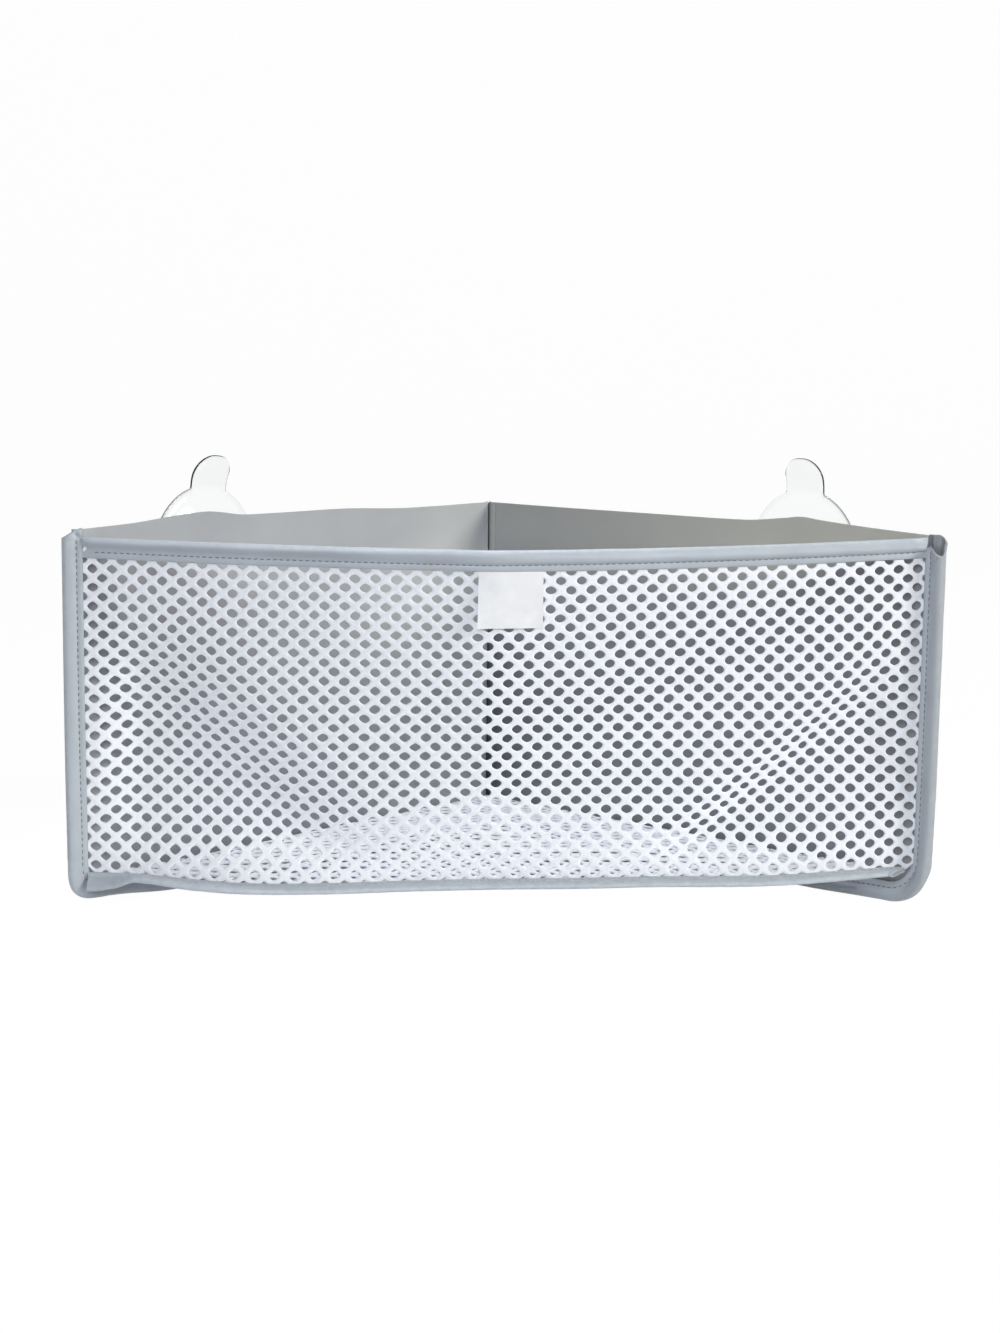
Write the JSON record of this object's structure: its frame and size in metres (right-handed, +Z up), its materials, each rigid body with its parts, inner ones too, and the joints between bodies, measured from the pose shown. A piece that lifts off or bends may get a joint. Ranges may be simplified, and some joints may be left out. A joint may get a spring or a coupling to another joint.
{
  "type": "corner bath toy organizer",
  "caption": "Soft open-topped corner bag for bath toys, with grey vinyl walls, a white net front and floor, bound seams and clear suction cups with pull tabs",
  "frame": {"origin": "under the middle of the whole organizer, on the surface it stands on", "axes": "+X to the right seen from the front, along the front panel; +Y to the back corner; +Z up"},
  "size_m": [0.387, 0.2304, 0.197],
  "materials": {
    "vinyl": "soft grey vinyl sheet, satin",
    "net": "white knitted net",
    "tape": "folded bluish grey vinyl tape, satin",
    "label": "white satin",
    "clear": "clear soft plastic"
  },
  "bodies": {
    "bag": {"left_wall": "vinyl", "right_wall": "vinyl", "front_net": "net", "floor_net": "net", "front_top_binding": "tape", "front_bottom_binding": "tape", "left_side_binding": "tape", "right_side_binding": "tape", "back_seam_binding": "tape", "front_label": "label"},
    "left_cup": {"left_suction_cup": "clear"},
    "right_cup": {"right_suction_cup": "clear"},
    "left_tab": {"left_pull_tab": "clear"},
    "right_tab": {"right_pull_tab": "clear"}
  },
  "joints": [
    {"name": "left_cup_swivel", "type": "hinge", "parent": "bag", "child": "left_cup", "pos_m": [-0.1259, -0.01937, 0.1518], "axis": [-0.7071, 0.7071, 0], "continuous": true},
    {"name": "right_cup_swivel", "type": "hinge", "parent": "bag", "child": "right_cup", "pos_m": [0.13155, -0.02503, 0.1518], "axis": [0.7071, 0.7071, 0], "continuous": true},
    {"name": "left_tab_flex", "type": "hinge", "parent": "left_cup", "child": "left_tab", "pos_m": [-0.13044, -0.00524, 0.18369], "axis": [0.6917, 0.6917, -0.2079], "range_deg": [0, 45], "stiffness_Nm_per_rad": 0.02},
    {"name": "right_tab_flex", "type": "hinge", "parent": "right_cup", "child": "right_tab", "pos_m": [0.13848, -0.01328, 0.18422], "axis": [0.7032, -0.7032, 0.1045], "range_deg": [0, 45], "stiffness_Nm_per_rad": 0.02}
  ]
}
